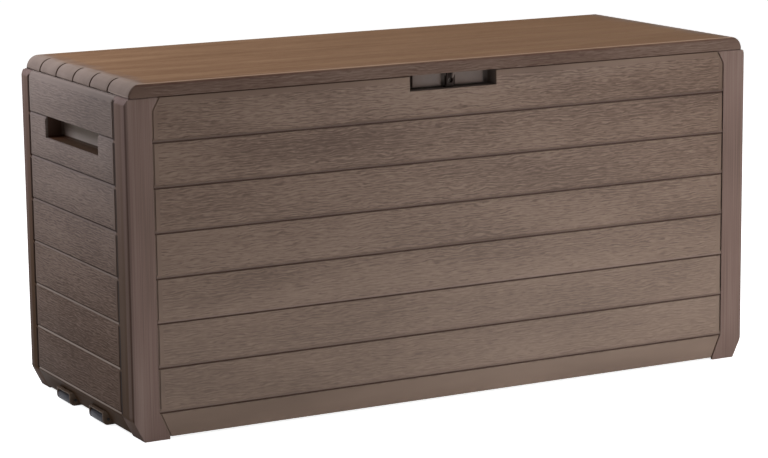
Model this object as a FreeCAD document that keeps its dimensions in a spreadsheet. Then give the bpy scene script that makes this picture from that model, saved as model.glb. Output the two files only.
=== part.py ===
import FreeCAD, Part
import math
import os
import re
import Sketcher

# Outdoor storage box of moulded resin boards, made of the pieces it comes apart into.
# Millimetres. X runs along the box, the front faces -Y, the ground is at Z = 0 and the
# origin is the bottom centre of the closed box.

SIZES = {
    # Overall
    "body_length": 1160,
    "body_depth": 447,
    "wall": 5,
    "skirt_clearance": 4,
    # Boards moulded into the walls
    "plank_count": 7,
    "front_plank_pitch": 71.6,
    "front_skirt_height": 43.8,
    "end_plank_pitch": 72.8,
    "end_skirt_height": 40.4,
    "groove_height": 2.6,
    "groove_depth": 2.6,
    "plank_recess": 1.0,
    "drip_lip_height": 5.0,
    "drip_lip_nose": 0.5,
    "end_ledge_height": 5.5,
    "seam_width": 3.0,
    "seam_fit": 0.2,
    # Corner posts
    "post_width": 45,
    "post_side_width_front": 49,
    "post_side_width_back": 36,
    "post_corner_radius": 6,
    "post_reach": 34,
    "post_flange": 3,
    "tongue_thickness": 3.5,
    "tongue_clearance": 0.3,
    "tongue_engagement": 12,
    "tongue_overlap": 10,
    "top_flare_run": 12,
    "top_flare_height": 22,
    "foot_flare_run": 17,
    "foot_height": 46,
    "chamfer_run": 18.5,
    "chamfer_rise": 37,
    # Rim that carries the lid
    "rim_width": 14,
    "rim_thickness": 4,
    "rim_fit": 0.3,
    "bevel_run": 5,
    "bevel_height": 10,
    # Stiffening ribs inside the long walls
    "wall_rib_count": 4,
    "wall_rib_end_inset": 265,
    "wall_rib_thickness": 3,
    "wall_rib_depth": 6,
    # Floor and the ledges that carry it
    "floor_height": 22,
    "floor_thickness": 4,
    "floor_fit": 0.4,
    "floor_end_inset": 13.6,
    "ledge_thickness": 4,
    "ledge_width": 9,
    "floor_rib_thickness": 3,
    "floor_rib_height": 19,
    "floor_long_rib_count": 3,
    "floor_cross_rib_count": 11,
    "floor_rib_end_inset": 52,
    "floor_rib_side_inset": 16,
    # Lid
    "lid_height": 22,
    "lid_gap": 0.3,
    "lid_wall": 4,
    "lid_end_inset": 7.5,
    "lid_front_inset": 0.6,
    "lid_back_inset": 10,
    "lid_end_radius": 21.4,
    "lid_edge_radius": 2.5,
    "lid_groove_count": 5,
    "lid_front_board": 85.4,
    "lid_back_board": 61,
    "lid_groove_width": 3,
    "lid_groove_depth": 1.8,
    "liner_thickness": 3,
    "liner_lift": 0.7,
    "liner_fit": 1.5,
    "liner_front_inset": 40,
    "liner_rib_thickness": 3,
    "liner_cross_rib_count": 7,
    "liner_long_rib_count": 3,
    # Latch recess, lifting lip and padlock eyes
    "latch_width": 162,
    "latch_height": 25.5,
    "latch_depth": 30,
    "latch_wall": 3,
    "latch_fit": 0.3,
    "pull_width": 132,
    "pull_inset": 20,
    "pull_thickness": 4,
    "pull_drop": 22.5,
    "pull_foot": 14,
    "pull_notch_width": 26,
    "pull_notch_height": 24,
    "eye_width": 15,
    "eye_thickness": 3,
    "eye_gap": 1,
    "lid_eye_inset": 11,
    "eye_foot": 8,
    "eye_foot_thickness": 2,
    "eye_hole_radius": 4,
    "eye_hole_height": 12,
    "eye_hole_wall": 3.5,
    # Hand grips in the ends
    "grip_width": 227,
    "grip_offset": 3,
    "grip_height": 36,
    "grip_depth": 32,
    "grip_wall": 3,
    "grip_flange": 7,
    "grip_finger_rise": 10,
    # Rollers under the left end
    "wheel_radius": 9.5,
    "wheel_width": 52,
    "wheel_inset": 10.2,
    "wheel_lift": 0.3,
    "wheel_clearance": 0.7,
    "wheel_end_clearance": 0.5,
    "wheel_edge": 1.5,
    "wheel_front_position": -65,
    "wheel_back_position": 77.5,
    "wheel_fit": 0.1,
    "axle_radius": 2.5,
    "axle_fit": 0.05,
    "pin_end_chamfer": 0.4,
    "bracket_cheek": 3,
    "bracket_inset": 0.5,
    "bracket_lift": 0.6,
    "bracket_corner_radius": 9,
    "bracket_length": 44,
    "bracket_toe": 26,
    "bracket_heel_height": 14,
    "bracket_fit": 0.5,
    # Hinges along the back
    "hinge_count": 3,
    "hinge_end_inset": 180,
    "hinge_width": 90,
    "hinge_lug_width": 48,
    "hinge_end_gap": 0.5,
    "hinge_radius": 4.4,
    "hinge_gap": 0.3,
    "hinge_lift": 1.8,
    "hinge_pin_radius": 2,
    "hinge_pin_fit": 0.05,
}

HALF_LENGTH = "(body_length / 2)"
HALF_DEPTH = "(body_depth / 2)"
RIM = "(front_skirt_height + plank_count * front_plank_pitch)"
STEP = f"({RIM} - groove_height / 2)"
SEAM = "(body_length / 2 - post_width)"
FRONT_SEAM = f"(post_side_width_front - {HALF_DEPTH})"
BACK_SEAM = f"({HALF_DEPTH} - post_side_width_back)"
SLOT = "(tongue_thickness + tongue_clearance)"
POST_CORE = f"(wall + {SLOT} + post_flange)"
TONGUE_END = "(post_reach - tongue_engagement)"
SLOPE_WALL = "(wall * sqrt(1 + (chamfer_run / chamfer_rise)^2))"
GROOVE_TOP = "(front_skirt_height + groove_height / 2)"
END_GROOVE_TOP = "(end_skirt_height + groove_height / 2)"
END_LEDGE_TOP = "(end_skirt_height - groove_height / 4)"
END_LEDGE_FOOT = f"({END_LEDGE_TOP} - end_ledge_height)"
LID_TOP = f"({RIM} + lid_height)"
LID_BOTTOM = f"({RIM} + lid_gap)"
LID_HALF_LENGTH = f"({HALF_LENGTH} - lid_end_inset)"
LID_FRONT = f"(lid_front_inset - {HALF_DEPTH})"
LID_BACK = f"({HALF_DEPTH} - lid_back_inset)"
LID_CEILING = f"({LID_TOP} - lid_wall)"
LID_DEPTH = "(body_depth - lid_front_inset - lid_back_inset)"
GRIP_TOP = "(end_skirt_height + (plank_count - 1) * end_plank_pitch)"
GRIP_BOTTOM = f"({GRIP_TOP} - grip_height)"
LATCH_FLOOR = f"({RIM} - latch_height)"
EYE_HOLE = f"({LATCH_FLOOR} + eye_hole_height)"
EYE_TOP = f"({EYE_HOLE} + eye_hole_radius + eye_hole_wall)"
EYE_BOTTOM = f"({EYE_HOLE} - eye_hole_radius - eye_hole_wall)"
BODY_EYE_INSET = "(lid_eye_inset + eye_thickness + eye_gap)"
WHEEL_HEIGHT = "(wheel_radius + wheel_lift)"
WHEEL_PLACE = f"(wheel_inset - {HALF_LENGTH})"
WHEEL_HALF_GAP = "(wheel_width / 2 + wheel_end_clearance)"
BRACKET_HALF = f"({WHEEL_HALF_GAP} + bracket_cheek)"
HINGE_INSET = "(lid_back_inset - hinge_gap - hinge_radius)"
HINGE_PLACE = f"({HALF_DEPTH} - {HINGE_INSET})"
HINGE_HEIGHT = f"({RIM} + hinge_lift + hinge_radius)"
FIRST_HINGE = f"(hinge_end_inset - {HALF_LENGTH})"
HINGE_SPAN = "(body_length - 2 * hinge_end_inset)"

# How far a cutting shape reaches past the shape that it cuts.
PAST = "1"
# On which side of the middle each outer face lies.
SIDES = {"front": -1, "back": 1, "left": -1, "right": 1}

doc = FreeCAD.newDocument("storage_box")
sheet = doc.addObject("Spreadsheet::Sheet", "Sizes")
pieces = []


def fill_sheet():
    """One row for each driving size: its name, and its value under that alias."""
    for row, (name, size) in enumerate(SIZES.items(), 1):
        sheet.set(f"A{row}", name)
        sheet.set(f"B{row}", str(size))
        sheet.setAlias(f"B{row}", name)
    doc.recompute()


def formula(text):
    """Point the size names in a formula at the sheet."""
    def link(word):
        return f"Sizes.{word.group()}" if word.group() in SIZES else word.group()
    return re.sub(r"[a-z][a-z0-9_]*", link, text)


def number(text):
    """What a formula gives at present."""
    return float(sheet.evalExpression(formula(text)))


def new_piece(name):
    body = doc.addObject("PartDesign::Body", name)
    body.Label = name
    pieces.append(body)
    return body


def origin_feature(body, role):
    return next(item for item in body.Origin.OriginFeatures if item.Role == role)


def hold(sketch, rule, text):
    """Add a constraint and let a formula drive it."""
    index = sketch.addConstraint(rule)
    sketch.setExpression(f"Constraints[{index}]", formula(text))


def hold_point(sketch, edge, end, x, y):
    hold(sketch, Sketcher.Constraint("DistanceX", -1, 1, edge, end, number(x)), x)
    hold(sketch, Sketcher.Constraint("DistanceY", -1, 1, edge, end, number(y)), y)


def hold_centre(sketch, edge, point, following):
    """The two ends leave an arc one freedom, which one centre distance settles."""
    run = abs(number(following[0]) - number(point[0]))
    rise = abs(number(following[1]) - number(point[1]))
    kind, text = ("DistanceY", point[3]) if run > rise else ("DistanceX", point[2])
    hold(sketch, Sketcher.Constraint(kind, -1, 1, edge, 3, number(text)), text)


def add_line(sketch, point, following):
    begin = FreeCAD.Vector(number(point[0]), number(point[1]), 0)
    finish = FreeCAD.Vector(number(following[0]), number(following[1]), 0)
    return sketch.addGeometry(Part.LineSegment(begin, finish), False), (1, 2)


def add_arc(sketch, point, following):
    """Arc that turns the short way; a half circle turns anticlockwise."""
    centre = FreeCAD.Vector(number(point[2]), number(point[3]), 0)
    begin = FreeCAD.Vector(number(point[0]), number(point[1]), 0) - centre
    finish = FreeCAD.Vector(number(following[0]), number(following[1]), 0) - centre
    ends = (1, 2)
    if begin.cross(finish).z < -1e-6:
        begin, finish = finish, begin
        ends = (2, 1)
    circle = Part.Circle(centre, FreeCAD.Vector(0, 0, 1), begin.Length)
    arc = Part.ArcOfCircle(
        circle, math.atan2(begin.y, begin.x), math.atan2(finish.y, finish.x))
    return sketch.addGeometry(arc, False), ends


def draw_outline(sketch, points):
    """Closed outline through (x, y) formulas. A point with four formulas starts an arc
    about the centre that its last two give."""
    followers = points[1:] + points[:1]
    edges = []
    for point, following in zip(points, followers):
        draw = add_arc if len(point) == 4 else add_line
        edges.append(draw(sketch, point, following))
    for index, (edge, ends) in enumerate(edges):
        before, before_ends = edges[index - 1]
        sketch.addConstraint(
            Sketcher.Constraint("Coincident", before, before_ends[1], edge, ends[0]))
        hold_point(sketch, edge, ends[0], points[index][0], points[index][1])
        if len(points[index]) == 4:
            hold_centre(sketch, edge, points[index], followers[index])


def new_sketch(body, name, plane, start):
    """Sketch parallel to an origin plane, at a distance along the model's axis."""
    sketch = body.newObject("Sketcher::SketchObject", f"{name}_sketch")
    sketch.AttachmentSupport = [(origin_feature(body, plane), "")]
    sketch.MapMode = "FlatFace"
    sign = "-1" if plane == "XZ_Plane" else "1"
    sketch.setExpression("AttachmentOffset.Base.z", formula(f"{sign} * ({start})"))
    return sketch


def volume_of(body):
    return 0 if body.Shape.isNull() else body.Shape.Volume


def check_change(body, name, volume, cut):
    """A pad has to add to the piece and a cut has to take from it."""
    change = volume_of(body) - volume
    if change * (-1 if cut else 1) < 0.01:
        raise ValueError(f"{name} changes the volume of {body.Label} by {change}")


def extrude(body, name, sketch, plane, length, cut):
    """Pad or pocket towards the positive axis."""
    volume = volume_of(body)
    feature = body.newObject("PartDesign::Pocket" if cut else "PartDesign::Pad", name)
    feature.Profile = sketch
    feature.Reversed = (plane == "XZ_Plane") != cut
    feature.setExpression("Length", formula(length))
    doc.recompute()
    check_change(body, name, volume, cut)
    return feature


def prism(body, name, plane, start, length, *loops, cut=False):
    """Straight solid from start to start + length, added to a piece or cut from it."""
    sketch = new_sketch(body, name, plane, start)
    for loop in loops:
        draw_outline(sketch, loop)
    return extrude(body, name, sketch, plane, length, cut)


def bore(body, name, plane, start, length, x, y, radius):
    """Round hole along one axis."""
    sketch = new_sketch(body, name, plane, start)
    centre = FreeCAD.Vector(number(x), number(y), 0)
    circle = Part.Circle(centre, FreeCAD.Vector(0, 0, 1), number(radius))
    edge = sketch.addGeometry(circle, False)
    hold_point(sketch, edge, 3, x, y)
    hold(sketch, Sketcher.Constraint("Radius", edge, number(radius)), radius)
    return extrude(body, name, sketch, plane, length, True)


def turn(body, name, plane, centre, axis, profile):
    """Solid of revolution about an axis of a sketch whose origin lies at the centre."""
    sketch = new_sketch(body, name, plane, centre[2])
    sketch.setExpression("AttachmentOffset.Base.x", formula(centre[0]))
    sketch.setExpression("AttachmentOffset.Base.y", formula(centre[1]))
    draw_outline(sketch, profile)
    feature = body.newObject("PartDesign::Revolution", name)
    feature.Profile = sketch
    feature.ReferenceAxis = (sketch, [axis])
    feature.Angle = 360
    doc.recompute()
    return feature


def repeat(body, features, axis, span, count):
    """Copies of features over a span, with the last copy at its end."""
    volume = volume_of(body)
    name = f"{features[0].Name}_pattern"
    pattern = body.newObject("PartDesign::LinearPattern", name)
    pattern.Originals = features
    pattern.Direction = (origin_feature(body, axis), [""])
    pattern.setExpression("Length", formula(span))
    pattern.setExpression("Occurrences", formula(count))
    body.Tip = pattern
    doc.recompute()
    check_change(body, name, volume, features[0].TypeId == "PartDesign::Pocket")


def box(left, right, low, high):
    return [(left, low), (right, low), (right, high), (left, high)]


def mirrored(loop):
    """The same outline on the other side of the middle."""
    return [(f"-({x})", y) for x, y in loop]


def below(side, depth):
    """Coordinate of a point that lies a depth below an outer face."""
    half = HALF_DEPTH if side in ("front", "back") else HALF_LENGTH
    return f"{SIDES[side]} * ({half} - ({depth}))"


def span_below(side, near, far):
    """Start and length of the range between two depths below an outer face."""
    return below(side, near if SIDES[side] < 0 else far), f"({far}) - ({near})"


def face_prism(body, name, side, near, far, *loops, cut=False):
    """Prism square to an outer face, between two depths below it."""
    plane = "XZ_Plane" if side in ("front", "back") else "YZ_Plane"
    start, length = span_below(side, near, far)
    return prism(body, name, plane, start, length, *loops, cut=cut)


def run_prism(body, name, side, start, length, section, cut=False):
    """Prism along an outer face, with its section given as (depth, height) points."""
    plane = "YZ_Plane" if side in ("front", "back") else "XZ_Plane"
    loop = []
    for point in section:
        placed = (below(side, point[0]), point[1])
        if len(point) == 4:
            placed += (below(side, point[2]), point[3])
        loop.append(placed)
    return prism(body, name, plane, start, length, loop, cut=cut)


def long_wall(name, side):
    """Front or back wall: boards over a skirt, cut to the flares of the posts."""
    body = new_piece(name)
    half = [
        (f"{SEAM} - foot_flare_run - seam_fit", "skirt_clearance"),
        (f"{SEAM} - seam_fit", "front_skirt_height"),
        (f"{SEAM} - seam_fit", f"{RIM} - top_flare_height"),
        (f"{SEAM} - top_flare_run - seam_fit", RIM),
    ]
    face_prism(body, f"{name}_boards", side, "0", "wall", half + mirrored(half)[::-1])
    add_long_wall_inside(body, name, side)
    cut_long_wall_boards(body, name, side)
    cut_long_wall_seams(body, name, side)
    return body


def add_long_wall_inside(body, name, side):
    """Tongues for the posts, rim, floor ledge and upright ribs."""
    tongue = box(
        f"{SEAM} - tongue_overlap", f"{HALF_LENGTH} - {TONGUE_END}",
        "foot_height + tongue_clearance", f"{RIM} - rim_thickness - tongue_clearance")
    face_prism(
        body, f"{name}_tongues", side, "wall", "wall + tongue_thickness",
        tongue, mirrored(tongue))
    rim_half = f"({HALF_LENGTH} - post_reach - rim_fit)"
    run_prism(
        body, f"{name}_rim", side, f"-{rim_half}", f"2 * {rim_half}",
        box("wall", "rim_width", f"{RIM} - rim_thickness", RIM))
    ledge_half = f"({SEAM} - foot_flare_run - seam_fit)"
    run_prism(
        body, f"{name}_ledge", side, f"-{ledge_half}", f"2 * {ledge_half}",
        box("wall", "wall + ledge_width", "floor_height - ledge_thickness", "floor_height"))
    rib = run_prism(
        body, f"{name}_rib", side,
        f"wall_rib_end_inset - {HALF_LENGTH} - wall_rib_thickness / 2", "wall_rib_thickness",
        box("wall", "wall + wall_rib_depth",
            "floor_height + floor_thickness + floor_fit", f"{RIM} - rim_thickness"))
    repeat(body, [rib], "X_Axis", "body_length - 2 * wall_rib_end_inset", "wall_rib_count")


def cut_long_wall_boards(body, name, side):
    """Set every board back below a drip lip, over the dark groove of its joint."""
    groove_foot = f"{GROOVE_TOP} - groove_height"
    lip_foot = f"{GROOVE_TOP} - front_plank_pitch"
    board = run_prism(
        body, f"{name}_board", side, f"-{HALF_LENGTH}", "body_length", [
            (f"-{PAST}", GROOVE_TOP),
            ("groove_depth", GROOVE_TOP),
            ("groove_depth", groove_foot),
            ("plank_recess", groove_foot),
            ("plank_recess", f"{lip_foot} + drip_lip_height"),
            ("0", f"{lip_foot} + drip_lip_nose"),
            (f"-{PAST}", f"{lip_foot} + drip_lip_nose"),
        ], cut=True)
    repeat(body, [board], "Z_Axis", "plank_count * front_plank_pitch", "plank_count + 1")


def cut_long_wall_seams(body, name, side):
    """Grooves beside the posts, which the drip lips interrupt."""
    inner = f"({SEAM} - seam_width)"
    board_foot = f"{GROOVE_TOP} + drip_lip_height"
    upright = box(inner, SEAM, board_foot, "front_skirt_height + front_plank_pitch")
    seams = face_prism(
        body, f"{name}_seams", side, "0", "groove_depth", upright, mirrored(upright),
        cut=True)
    repeat(body, [seams], "Z_Axis", "(plank_count - 2) * front_plank_pitch",
           "plank_count - 1")
    top_foot = f"{board_foot} + (plank_count - 1) * front_plank_pitch"
    knee = f"{RIM} - top_flare_height"
    top = [
        (inner, top_foot), (SEAM, top_foot), (SEAM, knee), (f"{SEAM} - top_flare_run", RIM),
        (f"{inner} - top_flare_run", RIM), (inner, knee),
    ]
    skirt = [
        (inner, "front_skirt_height"), (f"{inner} - foot_flare_run", "skirt_clearance"),
        (f"{SEAM} - foot_flare_run", "skirt_clearance"), (SEAM, "front_skirt_height"),
    ]
    face_prism(
        body, f"{name}_seam_ends", side, "0", "groove_depth",
        top, mirrored(top), skirt, mirrored(skirt), cut=True)


def front_wall():
    body = long_wall("front_panel", "front")
    opening = box("-latch_width / 2", "latch_width / 2", LATCH_FLOOR, f"{RIM} + {PAST}")
    face_prism(body, "latch_opening", "front", f"-{PAST}", f"wall + {PAST}", opening, cut=True)
    half = "(latch_width / 2 + latch_wall + latch_fit)"
    room = box(f"-{half}", half, f"{RIM} - rim_thickness - {PAST}", f"{RIM} + {PAST}")
    face_prism(body, "latch_room", "front", "wall", f"rim_width + {PAST}", room, cut=True)


def back_wall():
    """Back wall with the fixed knuckles of the hinges standing on its rim."""
    body = long_wall("back_panel", "back")
    section = [
        (f"{HINGE_INSET} + hinge_radius", f"{RIM} - rim_thickness / 2"),
        (f"{HINGE_INSET} - hinge_radius", f"{RIM} - rim_thickness / 2"),
        (f"{HINGE_INSET} - hinge_radius", HINGE_HEIGHT, HINGE_INSET, HINGE_HEIGHT),
        (f"{HINGE_INSET} + hinge_radius", HINGE_HEIGHT),
    ]
    length = "(hinge_width / 2 - hinge_lug_width / 2 - hinge_end_gap)"
    left_start = f"{FIRST_HINGE} - hinge_width / 2"
    right_start = f"{FIRST_HINGE} + hinge_width / 2 - {length}"
    left = run_prism(body, "left_knuckle", "back", left_start, length, section)
    right = run_prism(body, "right_knuckle", "back", right_start, length, section)
    repeat(body, [left, right], "X_Axis", HINGE_SPAN, "hinge_count")
    bore_hinges(body, "knuckle_bore")


def bore_hinges(body, name):
    """One long hole for the hinge pins."""
    bore(body, name, "YZ_Plane", f"{FIRST_HINGE} - hinge_width",
         f"{HINGE_SPAN} + 2 * hinge_width", HINGE_PLACE, HINGE_HEIGHT,
         "hinge_pin_radius + hinge_pin_fit")


def end_wall(name, side):
    """Left or right wall: boards over a sloping skirt, with a bevelled rim."""
    body = new_piece(name)
    foot = "chamfer_run * (1 - skirt_clearance / chamfer_rise)"
    run_prism(
        body, f"{name}_boards", side, f"{FRONT_SEAM} + seam_fit",
        f"{BACK_SEAM} - {FRONT_SEAM} - 2 * seam_fit", [
            (foot, "skirt_clearance"),
            ("0", "chamfer_rise"),
            ("0", f"{RIM} - bevel_height"),
            ("bevel_run", STEP),
            ("bevel_run + groove_depth", STEP),
            ("bevel_run + groove_depth", RIM),
            ("rim_width", RIM),
            ("rim_width", f"{RIM} - rim_thickness"),
            ("bevel_run + wall", f"{RIM} - rim_thickness"),
            ("wall", f"{RIM} - bevel_height - rim_thickness / 2"),
            ("wall", f"chamfer_rise * (1 + ({SLOPE_WALL} - wall) / chamfer_run)"),
            (f"{foot} + {SLOPE_WALL}", "skirt_clearance"),
        ])
    add_end_wall_inside(body, name, side)
    cut_end_wall_boards(body, name, side)
    opening = box("grip_offset - grip_width / 2", "grip_offset + grip_width / 2",
                  GRIP_BOTTOM, GRIP_TOP)
    face_prism(body, f"{name}_grip", side, f"-{PAST}", f"wall + {PAST}", opening, cut=True)
    return body


def add_end_wall_inside(body, name, side):
    """Tongues for the posts, ends of the rim and floor ledge."""
    low = "foot_height + tongue_clearance"
    high = f"{RIM} - bevel_height - rim_thickness"
    front = box(f"{TONGUE_END} - {HALF_DEPTH}", f"{FRONT_SEAM} + tongue_overlap", low, high)
    back = box(f"{BACK_SEAM} - tongue_overlap", f"{HALF_DEPTH} - {TONGUE_END}", low, high)
    face_prism(
        body, f"{name}_tongues", side, "wall", "wall + tongue_thickness", front, back)
    rim_half = f"({HALF_DEPTH} - post_reach - rim_fit)"
    run_prism(
        body, f"{name}_rim", side, f"-{rim_half}", f"2 * {rim_half}",
        box("bevel_run + wall", "rim_width", f"{RIM} - rim_thickness", RIM))
    run_prism(
        body, f"{name}_ledge", side, f"{FRONT_SEAM} + seam_fit",
        f"{BACK_SEAM} - {FRONT_SEAM} - 2 * seam_fit",
        box("floor_end_inset - ledge_thickness / 2", "floor_end_inset + ledge_width",
            "floor_height - ledge_thickness", "floor_height"))


def cut_end_wall_boards(body, name, side):
    """Joints of the boards, each a dark undercut over a ledge that slopes out, and the
    grooves beside the posts that the ledges interrupt."""
    joint = run_prism(
        body, f"{name}_joint", side, FRONT_SEAM, f"{BACK_SEAM} - {FRONT_SEAM}", [
            (f"-{PAST}", END_GROOVE_TOP),
            ("groove_depth", END_GROOVE_TOP),
            ("groove_depth", END_LEDGE_TOP),
            ("0", END_LEDGE_FOOT),
            (f"-{PAST}", END_LEDGE_FOOT),
        ], cut=True)
    boards = "(plank_count - 1) * end_plank_pitch"
    repeat(body, [joint], "Z_Axis", boards, "plank_count")
    inner_front = f"{FRONT_SEAM} + seam_width"
    inner_back = f"{BACK_SEAM} - seam_width"
    high = f"{END_LEDGE_FOOT} + end_plank_pitch"
    seams = face_prism(
        body, f"{name}_seams", side, "0", "groove_depth",
        box(FRONT_SEAM, inner_front, END_GROOVE_TOP, high),
        box(inner_back, BACK_SEAM, END_GROOVE_TOP, high), cut=True)
    repeat(body, [seams], "Z_Axis", "(plank_count - 2) * end_plank_pitch", "plank_count - 1")
    top_foot = f"{END_GROOVE_TOP} + {boards}"
    face_prism(
        body, f"{name}_seam_tops", side, "0", "groove_depth",
        box(FRONT_SEAM, inner_front, top_foot, RIM),
        box(inner_back, BACK_SEAM, top_foot, RIM), cut=True)


def left_wall():
    """Left wall with slots in its skirt for the two roller brackets."""
    body = end_wall("left_end_panel", "left")
    half = f"({BRACKET_HALF} + bracket_fit)"
    slots = []
    for centre in ("wheel_front_position", "wheel_back_position"):
        slots.append(box(f"{centre} - {half}", f"{centre} + {half}",
                         "0", "floor_height + bracket_fit"))
    face_prism(
        body, "roller_slots", "left", f"-{PAST}", f"floor_end_inset + ledge_width + {PAST}",
        *slots, cut=True)


def corner_post(name, end, side):
    """Corner post: a column with slots for the wall tongues on a hollow foot."""
    body = new_piece(name)
    side_width = f"post_side_width_{side}"

    def at(along, inward):
        return (below(end, along), below(side, inward))

    corner = at("0", "post_corner_radius") + at("post_corner_radius", "post_corner_radius")
    core = f"wall + {SLOT}"
    column = [
        at("post_corner_radius", "0"), at("post_width", "0"), at("post_width", "wall"),
        at(POST_CORE, "wall"), at(POST_CORE, core), at("post_reach", core),
        at("post_reach", POST_CORE), at(POST_CORE, POST_CORE), at(POST_CORE, "post_reach"),
        at(core, "post_reach"), at(core, "wall"), at("wall", "wall"),
        at("wall", side_width), at("0", side_width), corner,
    ]
    block = [
        at("post_corner_radius", "0"), at("post_width", "0"), at("post_width", side_width),
        at("0", side_width), corner,
    ]
    cap_inset = "bevel_run + wall - rim_fit"
    cap = [
        at("post_corner_radius", "0"), at("post_reach", "0"), at("post_reach", "rim_width"),
        at("rim_width", "post_reach"), at(cap_inset, "post_reach"), at(cap_inset, side_width),
        at("0", side_width), corner,
    ]
    prism(body, f"{name}_foot", "XY_Plane", "0", "foot_height", block)
    prism(body, f"{name}_column", "XY_Plane", "foot_height", f"{RIM} - foot_height", column)
    prism(body, f"{name}_cap", "XY_Plane", f"{RIM} - rim_thickness", "rim_thickness", cap)
    add_post_flares(body, name, end, side)
    cut_post_foot(body, name, end, side, side_width)
    cut_post_top(body, name, end, side, side_width)


def add_post_flares(body, name, end, side):
    """Widen the long face of the post at its foot and under the lid."""
    inner = below(end, "post_width / 2")
    foot = [
        (inner, "0"), (below(end, "post_width + foot_flare_run"), "0"),
        (below(end, "post_width + foot_flare_run"), "skirt_clearance"),
        (below(end, "post_width"), "front_skirt_height"), (inner, "front_skirt_height"),
    ]
    knee = f"{RIM} - top_flare_height"
    top = [
        (inner, knee), (below(end, "post_width"), knee),
        (below(end, "post_width + top_flare_run"), RIM), (inner, RIM),
    ]
    face_prism(body, f"{name}_flares", side, "0", "wall", foot, top)


def cut_post_foot(body, name, end, side, side_width):
    """Slope the foot like the skirt of the end wall, and hollow it from below."""
    past_run = f"chamfer_run * (1 + {PAST} / chamfer_rise)"
    start, length = span_below(side, f"-{PAST}", f"{side_width} + {PAST}")
    run_prism(
        body, f"{name}_slope", end, start, length, [
            (f"-{PAST}", f"-{PAST}"), (past_run, f"-{PAST}"), ("0", "chamfer_rise"),
            (f"-{PAST}", "chamfer_rise"),
        ], cut=True)
    start, length = span_below(side, "wall", f"{side_width} - wall")
    ceiling = "foot_height - wall"
    run_prism(
        body, f"{name}_hollow", end, start, length, [
            (f"{past_run} + {SLOPE_WALL}", f"-{PAST}"), ("post_width - wall", f"-{PAST}"),
            ("post_width - wall", ceiling), (SLOPE_WALL, ceiling),
            (SLOPE_WALL, "chamfer_rise"),
        ], cut=True)


def cut_post_top(body, name, end, side, side_width):
    """Bevel the end face under the lid, and step the top edge back for a shadow line."""
    start, length = span_below(side, f"-{PAST}", f"{side_width} + {PAST}")
    run_prism(
        body, f"{name}_bevel", end, start, length, [
            (f"-{PAST}", f"{RIM} - bevel_height"), ("0", f"{RIM} - bevel_height"),
            ("bevel_run", STEP), ("bevel_run + groove_depth", STEP),
            ("bevel_run + groove_depth", f"{RIM} + {PAST}"), (f"-{PAST}", f"{RIM} + {PAST}"),
        ], cut=True)
    start, length = span_below(end, f"-{PAST}", f"post_width + top_flare_run + {PAST}")
    run_prism(
        body, f"{name}_step", side, start, length,
        box(f"-{PAST}", "groove_depth", STEP, f"{RIM} + {PAST}"), cut=True)


def floor_panel():
    """Floor plate notched round the posts' feet, with a grid of ribs underneath."""
    body = new_piece("floor_panel")
    end = f"{HALF_LENGTH} - floor_end_inset"
    side = f"{HALF_DEPTH} - wall - floor_fit"
    notch = f"{SEAM} - floor_fit"
    front = f"{HALF_DEPTH} - post_side_width_front - floor_fit"
    back = f"{HALF_DEPTH} - post_side_width_back - floor_fit"
    right = [
        (notch, f"-({side})"), (notch, f"-({front})"), (end, f"-({front})"),
        (end, back), (notch, back), (notch, side),
    ]
    prism(body, "plate", "XY_Plane", "floor_height", "floor_thickness",
          right + mirrored(right)[::-1])
    low = "floor_height - floor_rib_height"
    long_half = f"({HALF_LENGTH} - floor_rib_end_inset)"
    cross_half = f"({HALF_DEPTH} - floor_rib_side_inset)"
    spacing = "(body_depth / (floor_long_rib_count + 1))"
    first = f"({spacing} - {HALF_DEPTH})"
    long_rib = prism(
        body, "long_rib", "XY_Plane", low, "floor_rib_height",
        box(f"-{long_half}", long_half, f"{first} - floor_rib_thickness / 2",
            f"{first} + floor_rib_thickness / 2"))
    repeat(body, [long_rib], "Y_Axis", f"{spacing} * (floor_long_rib_count - 1)",
           "floor_long_rib_count")
    cross_rib = prism(
        body, "cross_rib", "XY_Plane", low, "floor_rib_height",
        box(f"-{long_half}", f"floor_rib_thickness - {long_half}",
            f"-{cross_half}", cross_half))
    repeat(body, [cross_rib], "X_Axis", f"2 * {long_half} - floor_rib_thickness",
           "floor_cross_rib_count")


def lid_arch(inset, low):
    """Flat top with quarter-round ends, moved in by an inset and open at the bottom."""
    half = f"({LID_HALF_LENGTH} - ({inset}))"
    top = f"{LID_TOP} - ({inset})"
    turn_x = f"({LID_HALF_LENGTH} - lid_end_radius)"
    turn_z = f"({LID_TOP} - lid_end_radius)"
    return [
        (half, low), (half, turn_z, turn_x, turn_z), (turn_x, top),
        (f"-{turn_x}", top, f"-{turn_x}", turn_z), (f"-{half}", turn_z), (f"-{half}", low),
    ]


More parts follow.
